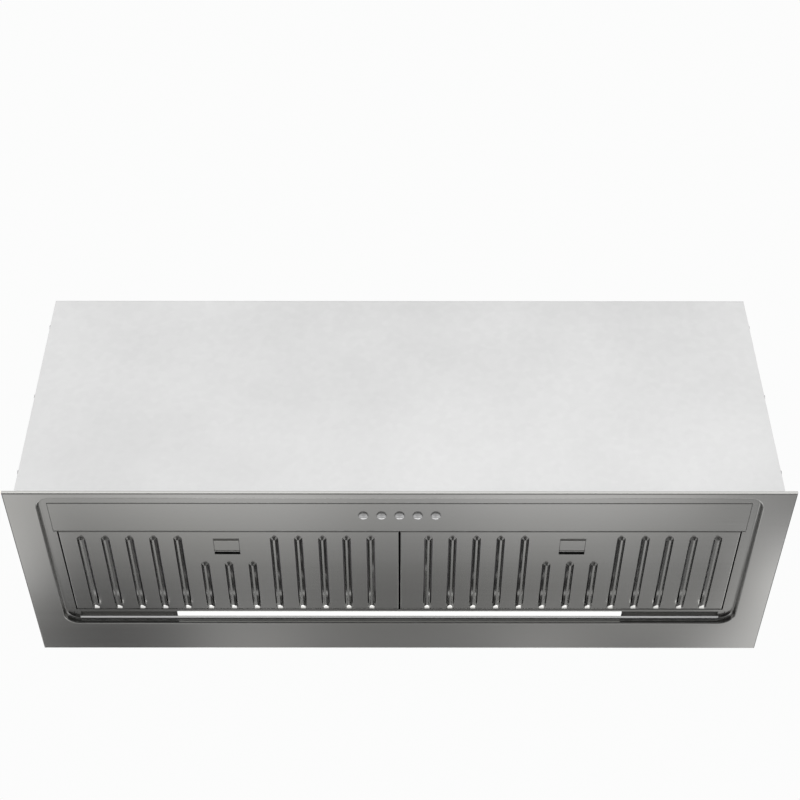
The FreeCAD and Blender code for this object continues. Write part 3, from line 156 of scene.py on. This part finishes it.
class Finish:
    """One procedural material and short ways to add and link its nodes."""

    def __init__(self, name, **sockets):
        self.material = bpy.data.materials.new(name)
        self.material.use_nodes = True
        self.tree = self.material.node_tree
        self.shader = self.tree.nodes["Principled BSDF"]
        for socket, value in sockets.items():
            self.shader.inputs[socket.replace("_", " ")].default_value = value

    def add(self, kind, **settings):
        node = self.tree.nodes.new("ShaderNode" + kind)
        for name, value in settings.items():
            setattr(node, name, value)
        return node

    def link(self, source, target):
        self.tree.links.new(source, target)

    def place(self, scale):
        """Object coordinates stretched by one factor for each axis."""
        coordinates = self.add("TexCoord")
        mapping = self.add("Mapping")
        mapping.inputs["Scale"].default_value = scale
        self.link(coordinates.outputs["Object"], mapping.inputs["Vector"])
        return mapping.outputs["Vector"]

    def noise(self, scale, detail=3.0, roughness=0.55, distortion=0.0):
        node = self.add("TexNoise")
        node.inputs["Scale"].default_value = 1.0
        node.inputs["Detail"].default_value = detail
        node.inputs["Roughness"].default_value = roughness
        node.inputs["Distortion"].default_value = distortion
        self.link(self.place(scale), node.inputs["Vector"])
        return node.outputs["Fac"]

    def cells(self, scale, feature="F1"):
        node = self.add("TexVoronoi", feature=feature)
        node.inputs["Scale"].default_value = 1.0
        self.link(self.place(scale), node.inputs["Vector"])
        return node

    def ramp(self, factor, *stops):
        node = self.add("ValToRGB")
        elements = node.color_ramp.elements
        while len(elements) < len(stops):
            elements.new(0.5)
        for element, (position, colour) in zip(elements, stops):
            element.position = position
            element.color = (*colour, 1.0)
        self.link(factor, node.inputs["Fac"])
        return node.outputs["Color"]

    def spread(self, factor, low, high, start=0.3, end=0.7):
        """A number that runs from low to high while the factor runs from start to end."""
        node = self.add("MapRange")
        node.inputs["From Min"].default_value = start
        node.inputs["From Max"].default_value = end
        node.inputs["To Min"].default_value = low
        node.inputs["To Max"].default_value = high
        self.link(factor, node.inputs["Value"])
        return node.outputs["Result"]

    def blend(self, factor, first, second, mode="MIX"):
        node = self.add("Mix", data_type="RGBA", blend_type=mode)
        for socket, value in (("Factor_Float", factor), ("A_Color", first), ("B_Color", second)):
            target = next(i for i in node.inputs if i.identifier == socket)
            if isinstance(value, bpy.types.NodeSocket):
                self.link(value, target)
            elif isinstance(value, tuple):
                target.default_value = (*value, 1.0)
            else:
                target.default_value = value
        return next(o for o in node.outputs if o.identifier == "Result_Color")

    def height(self, low, high):
        """Nought below the low level and one above the high level, in metres."""
        coordinates = self.add("TexCoord")
        axes = self.add("SeparateXYZ")
        self.link(coordinates.outputs["Object"], axes.inputs["Vector"])
        return self.spread(axes.outputs["Z"], 0.0, 1.0, low, high)

    def steepness(self):
        """Nought on a face that lies flat or runs across, and one on a face turned to either side."""
        coordinates = self.add("TexCoord")
        axes = self.add("SeparateXYZ")
        self.link(coordinates.outputs["Normal"], axes.inputs["Vector"])
        either = self.add("Math", operation="ABSOLUTE")
        self.link(axes.outputs["X"], either.inputs[0])
        return either.outputs[0]

    def rear_wall(self, start):
        """One on a face turned to the front that lies behind a place, in metres."""
        coordinates = self.add("TexCoord")
        place = self.add("SeparateXYZ")
        self.link(coordinates.outputs["Object"], place.inputs["Vector"])
        behind = self.add("Math", operation="GREATER_THAN")
        behind.inputs[1].default_value = start
        self.link(place.outputs["Y"], behind.inputs[0])
        turn = self.add("SeparateXYZ")
        self.link(coordinates.outputs["Normal"], turn.inputs["Vector"])
        both = self.add("Math", operation="MULTIPLY")
        self.link(behind.outputs[0], both.inputs[0])
        self.link(self.spread(turn.outputs["Y"], 1.0, 0.0, -0.6, -0.15), both.inputs[1])
        return both.outputs[0]

    def openness(self, distance):
        """One on an open face, less in corners and slots narrower than the distance."""
        node = self.add("AmbientOcclusion", samples=8)
        node.inputs["Distance"].default_value = distance
        return node.outputs["AO"]

    def colour(self, output):
        self.link(output, self.shader.inputs["Base Color"])

    def roughness(self, output):
        self.link(output, self.shader.inputs["Roughness"])

    def bump(self, height, depth, strength=1.0, edge=0.0):
        """Raises the shading by the height times the depth, in metres, and eases edges by a radius."""
        node = self.add("Bump")
        node.inputs["Strength"].default_value = strength
        node.inputs["Distance"].default_value = depth
        self.link(height, node.inputs["Height"])
        if edge:
            eased = self.add("Bevel", samples=4)
            eased.inputs["Radius"].default_value = edge
            self.link(eased.outputs["Normal"], node.inputs["Normal"])
        self.link(node.outputs["Normal"], self.shader.inputs["Normal"])


def grey(level, warm=0.0):
    return (level * (1 + warm), level * (1 + warm * 0.6), level * (1 - warm))


def stainless(name, side_painted_shade, back_painted_shade=1.0, slot_painted_shade=fold_painted_shade):
    """Sheet brushed from left to right, with painted shade: darker off the flange, on faces turned to
    either side, on the rear wall when a back shade is given, and in folds and slots.
    """
    finish = Finish(name, Metallic=1.0)
    streaks = finish.noise((0.5, 900.0, 900.0), detail=4.0, roughness=0.7)
    patches = finish.noise((3.0, 5.0, 5.0), detail=2.0)
    fine = finish.ramp(streaks, (0.25, grey(0.58, 0.015)), (0.75, grey(0.61, 0.015)))
    broad = finish.ramp(patches, (0.3, grey(0.95, 0.01)), (0.7, grey(1.03, 0.0)))
    tone = finish.blend(1.0, fine, broad, "MULTIPLY")
    # Painted shade: the pressed recess is darker than the flange.
    pressed = finish.ramp(
        finish.height(flange_level, pressed_level), (0.0, grey(1.0)), (1.0, grey(pressed_painted_shade))
    )
    tone = finish.blend(1.0, tone, pressed, "MULTIPLY")
    # Painted shade: faces turned to either side are darker.
    flanks = finish.ramp(finish.steepness(), (0.30, grey(1.0)), (0.62, grey(side_painted_shade)))
    tone = finish.blend(1.0, tone, flanks, "MULTIPLY")
    # Painted shade on the rear wall: front-facing faces behind the light bar.
    if back_painted_shade < 1.0:
        behind = finish.ramp(
            finish.rear_wall(rear_wall_start), (0.0, grey(1.0)), (1.0, grey(back_painted_shade))
        )
        tone = finish.blend(1.0, tone, behind, "MULTIPLY")
    # Painted shade in folds and slots, where ambient occlusion finds faces near.
    corners = finish.ramp(finish.openness(fold_shade_reach), (0.25, grey(slot_painted_shade)), (0.85, grey(1.0)))
    finish.colour(finish.blend(1.0, tone, corners, "MULTIPLY"))
    finish.roughness(finish.spread(streaks, 0.15, 0.20))
    finish.bump(streaks, 0.000012, 0.3, edge=sheet_edge)
    return finish.material


def zinc():
    """Zinc-coated sheet with a faint spangle."""
    finish = Finish("zinc_coated_sheet", Metallic=0.85)
    flowers = finish.cells((140.0, 140.0, 140.0), "SMOOTH_F1")
    cloud = finish.noise((4.0, 4.0, 4.0), detail=4.0)
    grain = finish.noise((400.0, 400.0, 400.0), detail=2.0)
    tone = finish.ramp(flowers.outputs["Color"], (0.2, grey(0.74)), (0.8, grey(0.78)))
    broad = finish.ramp(cloud, (0.3, grey(0.93)), (0.7, grey(1.04)))
    finish.colour(finish.blend(1.0, tone, broad, "MULTIPLY"))
    finish.roughness(finish.spread(flowers.outputs["Color"], 0.38, 0.52, 0.1, 0.9))
    finish.bump(grain, 0.00003, 0.3, edge=sheet_edge)
    return finish.material


def aluminium():
    """Anodised extrusion, with painted shade in its grooves."""
    finish = Finish("rolled_aluminium_painted_shade", Metallic=1.0)
    lines = finish.noise((4.0, 700.0, 700.0), detail=3.0)
    tone = finish.ramp(lines, (0.3, grey(0.50)), (0.7, grey(0.60)))
    # Painted shade in grooves and corners, from ambient occlusion.
    corners = finish.ramp(finish.openness(0.008), (0.3, grey(0.30)), (0.9, grey(1.0)))
    finish.colour(finish.blend(1.0, tone, corners, "MULTIPLY"))
    finish.roughness(finish.spread(lines, 0.30, 0.42))
    finish.bump(lines, 0.00003, 0.3, edge=sheet_edge)
    return finish.material


def chrome():
    """Plated plastic, as on the push buttons and the lip."""
    finish = Finish("satin_chrome", Metallic=0.7)
    haze = finish.noise((300.0, 300.0, 300.0), detail=3.0)
    finish.colour(finish.ramp(haze, (0.3, grey(0.64)), (0.7, grey(0.72))))
    finish.roughness(finish.spread(haze, 0.10, 0.18))
    finish.bump(haze, 0.00001, 0.2, edge=fine_edge)
    return finish.material


def frosted_lens():
    """The light bar's cover, which is lit from inside."""
    finish = Finish("frosted_lens", Roughness=0.5, Emission_Strength=0.75)
    frost = finish.noise((500.0, 500.0, 500.0), detail=2.0)
    glow = finish.ramp(frost, (0.3, (0.95, 0.97, 0.95)), (0.7, (1.0, 1.0, 0.98)))
    finish.colour(finish.ramp(frost, (0.3, grey(0.46)), (0.7, grey(0.52))))
    finish.link(glow, finish.shader.inputs["Emission Color"])
    finish.bump(frost, 0.00002, 0.2)
    return finish.material


def moulding(name, level, rough, warm=0.0):
    """A moulded plastic or rubber with a fine spark-eroded grain."""
    finish = Finish(name)
    grain = finish.noise((1500.0, 1500.0, 1500.0), detail=2.0)
    cloud = finish.noise((20.0, 20.0, 20.0), detail=3.0)
    finish.colour(finish.ramp(cloud, (0.3, grey(level * 0.88, warm)), (0.7, grey(level * 1.1, warm))))
    finish.roughness(finish.spread(grain, rough - 0.06, rough + 0.06))
    finish.bump(grain, 0.00003, 0.4, edge=sheet_edge)
    return finish.material


def circuit_board():
    """Green lacquer over a net of tracks."""
    finish = Finish("circuit_board", Roughness=0.35)
    tracks = finish.cells((160.0, 160.0, 160.0), "DISTANCE_TO_EDGE")
    green = finish.ramp(
        tracks.outputs["Distance"], (0.05, (0.02, 0.11, 0.05)), (0.12, (0.03, 0.19, 0.09))
    )
    finish.colour(green)
    finish.bump(tracks.outputs["Distance"], 0.00003, 0.3)
    return finish.material


def motor_paint():
    """Dark baked paint with a slight orange peel."""
    finish = Finish("motor_paint", Roughness=0.4)
    peel = finish.noise((250.0, 250.0, 250.0), detail=2.0)
    cloud = finish.noise((15.0, 15.0, 15.0), detail=3.0)
    finish.colour(finish.ramp(cloud, (0.3, (0.035, 0.038, 0.042)), (0.7, (0.050, 0.053, 0.058))))
    finish.roughness(finish.spread(peel, 0.32, 0.46))
    finish.bump(peel, 0.00006, 0.4, edge=cast_edge)
    return finish.material


def screw_steel():
    """Screws and shafts, bright zinc plated."""
    finish = Finish("bright_zinc_plating", Metallic=1.0)
    haze = finish.noise((200.0, 200.0, 200.0), detail=3.0)
    finish.colour(finish.ramp(haze, (0.3, grey(0.50)), (0.7, grey(0.62))))
    finish.roughness(finish.spread(haze, 0.2, 0.34))
    finish.bump(haze, 0.00002, 0.2, edge=fine_edge)
    return finish.material


# The stainless finishes carry painted shade on the recess, flanks, walls and folds.
finishes = {
    "stainless": stainless("brushed_stainless_painted_shade", flank_painted_shade),
    "zinc_steel": zinc(),
    "aluminium": aluminium(),
    "button_chrome": chrome(),
    "frosted_lens": frosted_lens(),
    "black_plastic": moulding("black_moulding", 0.03, 0.5),
    "white_plastic": moulding("white_moulding", 0.66, 0.45, 0.02),
    "circuit_board": circuit_board(),
    "motor_paint": motor_paint(),
    "bush_rubber": moulding("bush_rubber", 0.022, 0.75),
    "screw_steel": screw_steel(),
}
latch_finish = stainless("latch_stainless_painted_shade", flank_painted_shade, slot_painted_shade=latch_fold_painted_shade)
own_finishes = {
    "bottom_pan": stainless("drawn_stainless_painted_shade", wall_painted_shade, rear_wall_painted_shade),
    "filter_left_latch": latch_finish,
    "filter_right_latch": latch_finish,
}


def dress_nodes():
    """Every piece takes its own finish or that of its slot in the record."""
    for name, node in nodes.items():
        node.data.materials.clear()
        node.data.materials.append(own_finishes.get(name) or finishes[slot_of[name]])


def build_lip():
    """The bright lip behind the light bar, as a closed strip with eased lower edges."""
    outline = [
        (lip_front_y, lip_top),
        (lip_front_y, lip_front_under + lip_edge),
        (lip_front_y + lip_edge, lip_front_under),
        (lip_rear_y - lip_edge, lip_rear_under),
        (lip_rear_y, lip_rear_under + lip_edge),
        (lip_rear_y, lip_top),
    ]
    mesh = bpy.data.meshes.new("light_bar_lip")
    form = bmesh.new()
    ends = [[form.verts.new((x, y, z)) for y, z in outline] for x in (-lip_half, lip_half)]
    left, right = ends
    for index in range(len(outline)):
        after = (index + 1) % len(outline)
        form.faces.new((left[index], left[after], right[after], right[index]))
    form.faces.new(left)
    form.faces.new(right)
    bmesh.ops.recalc_face_normals(form, faces=form.faces)
    form.to_mesh(mesh)
    form.free()
    mesh.materials.append(finishes["button_chrome"])
    lip = bpy.data.objects.new("light_bar_lip", mesh)
    bpy.context.scene.collection.objects.link(lip)
    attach(lip, "chassis")


def seen_by_camera(tree):
    """One for camera, mirror and glass rays, and nought for the rays that light the object."""
    paths = tree.nodes.new("ShaderNodeLightPath")
    answer = paths.outputs["Is Camera Ray"]
    for ray in ("Is Glossy Ray", "Is Transmission Ray"):
        either = tree.nodes.new("ShaderNodeMath")
        either.operation = "MAXIMUM"
        tree.links.new(answer, either.inputs[0])
        tree.links.new(paths.outputs[ray], either.inputs[1])
        answer = either.outputs[0]
    return answer


def level_corners(x, y, half, level):
    """The corners of a level square round a middle."""
    return [(x + i * half, y + j * half, level) for i, j in ((-1, -1), (1, -1), (1, 1), (-1, 1))]


def flat_sheet(name, corners, material):
    """A four-cornered sheet of the staging."""
    mesh = bpy.data.meshes.new(name)
    mesh.from_pydata(corners, [], [(0, 1, 2, 3)])
    mesh.materials.append(material)
    sheet = bpy.data.objects.new(name, mesh)
    bpy.context.scene.collection.objects.link(sheet)
    return sheet


def stage_finish():
    """A pale floor that camera, mirror and glass rays see mostly as plain background."""
    finish = Finish("stage_floor", Roughness=0.9)
    soft = finish.noise((0.5, 0.5, 0.5), detail=1.0)
    finish.colour(finish.ramp(soft, (0.3, grey(0.86)), (0.7, grey(0.89))))
    plain = finish.add("Emission")
    plain.inputs["Color"].default_value = background
    seen = seen_by_camera(finish.tree)
    share = finish.add("Math", operation="MULTIPLY")
    share.inputs[1].default_value = floor_share
    finish.link(seen, share.inputs[0])
    mix = finish.add("MixShader")
    finish.link(share.outputs[0], mix.inputs["Fac"])
    finish.link(finish.shader.outputs[0], mix.inputs[1])
    finish.link(plain.outputs[0], mix.inputs[2])
    finish.link(mix.outputs[0], finish.tree.nodes["Material Output"].inputs["Surface"])
    return finish.material


def build_floor():
    flat_sheet("floor", level_corners(0.0, 0.0, floor_half, floor_level), stage_finish())


def mirror_only(sheet):
    """Only mirror rays see the sheet: it is no part of the view, and takes no light away."""
    sheet.visible_camera = False
    sheet.visible_diffuse = False
    sheet.visible_transmission = False
    sheet.visible_shadow = False


def glow_material(name, level=1.0):
    """A material that gives off one even grey, whatever light falls on it."""
    material = bpy.data.materials.new(name)
    material.use_nodes = True
    tree = material.node_tree
    tree.nodes.clear()
    emission = tree.nodes.new("ShaderNodeEmission")
    emission.inputs["Color"].default_value = (level, level, level, 1.0)
    output = tree.nodes.new("ShaderNodeOutputMaterial")
    tree.links.new(emission.outputs[0], output.inputs["Surface"])
    return material, tree, emission


def tone_along(tree, place, tones):
    """A level that follows (place, level) pairs."""
    start, end = tones[0][0], tones[-1][0]
    along = tree.nodes.new("ShaderNodeMapRange")
    along.inputs["From Min"].default_value = start
    along.inputs["From Max"].default_value = end
    tree.links.new(place, along.inputs["Value"])
    band = tree.nodes.new("ShaderNodeValToRGB")
    elements = band.color_ramp.elements
    while len(elements) < len(tones):
        elements.new(0.5)
    for element, (there, level) in zip(elements, tones):
        element.position = (there - start) / (end - start)
        element.color = (level, level, level, 1.0)
    tree.links.new(along.outputs["Result"], band.inputs["Fac"])
    return band.outputs["Color"]


def build_card():
    """The gradient card: bands of tone across it, and soft pools of lighter and darker tone."""
    material, tree, emission = glow_material("gradient_card")
    coordinates = tree.nodes.new("ShaderNodeTexCoord")
    axes = tree.nodes.new("ShaderNodeSeparateXYZ")
    tree.links.new(coordinates.outputs["Object"], axes.inputs["Vector"])
    sideways = tree.nodes.new("ShaderNodeMath")
    sideways.operation = "ABSOLUTE"
    tree.links.new(axes.outputs["X"], sideways.inputs[0])
    both = tree.nodes.new("ShaderNodeMath")
    both.operation = "MULTIPLY"
    tree.links.new(tone_along(tree, axes.outputs["Y"], card_tones), both.inputs[0])
    tree.links.new(tone_along(tree, sideways.outputs[0], card_sides), both.inputs[1])
    tone = both.outputs[0]
    for (x, y), radius, level in card_pools:
        reach = tree.nodes.new("ShaderNodeVectorMath")
        reach.operation = "DISTANCE"
        reach.inputs[1].default_value = (x, y, card_level)
        tree.links.new(coordinates.outputs["Object"], reach.inputs[0])
        fade = tree.nodes.new("ShaderNodeMapRange")
        fade.interpolation_type = "SMOOTHSTEP"
        fade.inputs["From Max"].default_value = radius
        fade.inputs["To Min"].default_value = 1.0
        fade.inputs["To Max"].default_value = 0.0
        tree.links.new(reach.outputs["Value"], fade.inputs["Value"])
        mix = tree.nodes.new("ShaderNodeMix")
        factor, first, second = mix.inputs[0], mix.inputs[2], mix.inputs[3]
        tree.links.new(fade.outputs["Result"], factor)
        tree.links.new(tone, first)
        second.default_value = level
        tone = mix.outputs[0]
    tree.links.new(tone, emission.inputs["Color"])
    places = level_corners(*card_middle, card_half, card_level)
    mirror_only(flat_sheet("gradient_card", places, material))


def upright_flag(name, start, end, bottom, top, material):
    """A card that stands on the line from start to end."""
    places = [(*start, bottom), (*end, bottom), (*end, top), (*start, top)]
    mirror_only(flat_sheet(name, places, material))


def build_flags():
    """The dark cards round the hood, and the bright one behind it."""
    dark = glow_material("dark_flag", flag_tone)[0]
    left_rear, right_rear = (-flag_reach, flag_rear), (flag_reach, flag_rear)
    left_front, right_front = (-flag_reach, flag_front), (flag_reach, flag_front)
    upright_flag("left_flag", left_front, left_rear, flag_bottom, flag_top, dark)
    upright_flag("right_flag", right_front, right_rear, flag_bottom, flag_top, dark)
    upright_flag("rear_flag", left_rear, right_rear, flag_bottom, flag_top, dark)
    bright = glow_material("bright_card", rear_tone)[0]
    ends = (-rear_card_half, rear_card_y), (rear_card_half, rear_card_y)
    upright_flag("rear_card", *ends, flag_bottom, rear_card_top, bright)
    ends = (-front_flag_half, front_flag_y), (front_flag_half, front_flag_y)
    upright_flag("front_flag", *ends, front_flag_bottom, front_flag_top, dark)


def build_world():
    """Camera, mirror and glass rays see the pale background; the object gets an even, softer light."""
    world = bpy.data.worlds.new("studio")
    bpy.context.scene.world = world
    world.use_nodes = True
    tree = world.node_tree
    tree.nodes.clear()
    seen = tree.nodes.new("ShaderNodeBackground")
    seen.inputs["Color"].default_value = background
    seen.inputs["Strength"].default_value = 1.0
    light = tree.nodes.new("ShaderNodeBackground")
    light.inputs["Color"].default_value = (1.0, 1.0, 1.0, 1.0)
    light.inputs["Strength"].default_value = ambient
    mix = tree.nodes.new("ShaderNodeMixShader")
    tree.links.new(seen_by_camera(tree), mix.inputs["Fac"])
    tree.links.new(light.outputs[0], mix.inputs[1])
    tree.links.new(seen.outputs[0], mix.inputs[2])
    output = tree.nodes.new("ShaderNodeOutputWorld")
    tree.links.new(mix.outputs[0], output.inputs["Surface"])


def area_lamp(name, place, target, width, depth, power):
    """A rectangular lamp at a place, facing a target, that the camera doesn't see."""
    lamp = bpy.data.lights.new(name, "AREA")
    lamp.shape = "RECTANGLE"
    lamp.size = width
    lamp.size_y = depth
    lamp.energy = power
    holder = bpy.data.objects.new(name, lamp)
    holder.location = place
    direction = Vector(target) - Vector(place)
    holder.rotation_mode = "QUATERNION"
    holder.rotation_quaternion = direction.to_track_quat("-Z", "Y")
    holder.visible_camera = False
    bpy.context.scene.collection.objects.link(holder)
    return holder


def build_lamps():
    """The broad lamps, and a small one at each louvre's rear end that lights the filters alone."""
    for name, place, width, depth, power in broad_lamps:
        area_lamp(name, place, lamp_target, width, depth, power)
    faces = bpy.data.collections.new("glow_receivers")
    for name in glow_receivers:
        faces.objects.link(nodes[name])
    inner_end, rear_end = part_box("filter_right_face")[0].x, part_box("filter_right_face")[1].y
    glow_y = rear_end - glow_setback
    for index in range(louvre_count):
        for side in (-1, 1):
            x = side * (inner_end + louvre_first + index * louvre_pitch)
            name = "light_bar_glow_%s_%d" % ("left" if side < 0 else "right", index + 1)
            place, aim = (x, glow_y, glow_level), (x, glow_y - 1.0, glow_level)
            glow = area_lamp(name, place, aim, glow_width, glow_depth, glow_power)
            glow.data.spread = glow_spread
            glow.light_linking.receiver_collection = faces


def build_camera():
    data = bpy.data.cameras.new("camera")
    data.sensor_width = sensor_width
    data.lens = camera_lens
    data.clip_end = camera_sight
    camera = bpy.data.objects.new("camera", data)
    camera.location = camera_place
    camera.rotation_euler = (math.pi / 2 + camera_pitch, 0.0, camera_yaw)
    bpy.context.scene.collection.objects.link(camera)
    bpy.context.scene.camera = camera


dress_nodes()
build_lip()
build_floor()
build_card()
build_flags()
build_world()
build_lamps()
build_camera()
bpy.context.scene.view_settings.view_transform = "Standard"
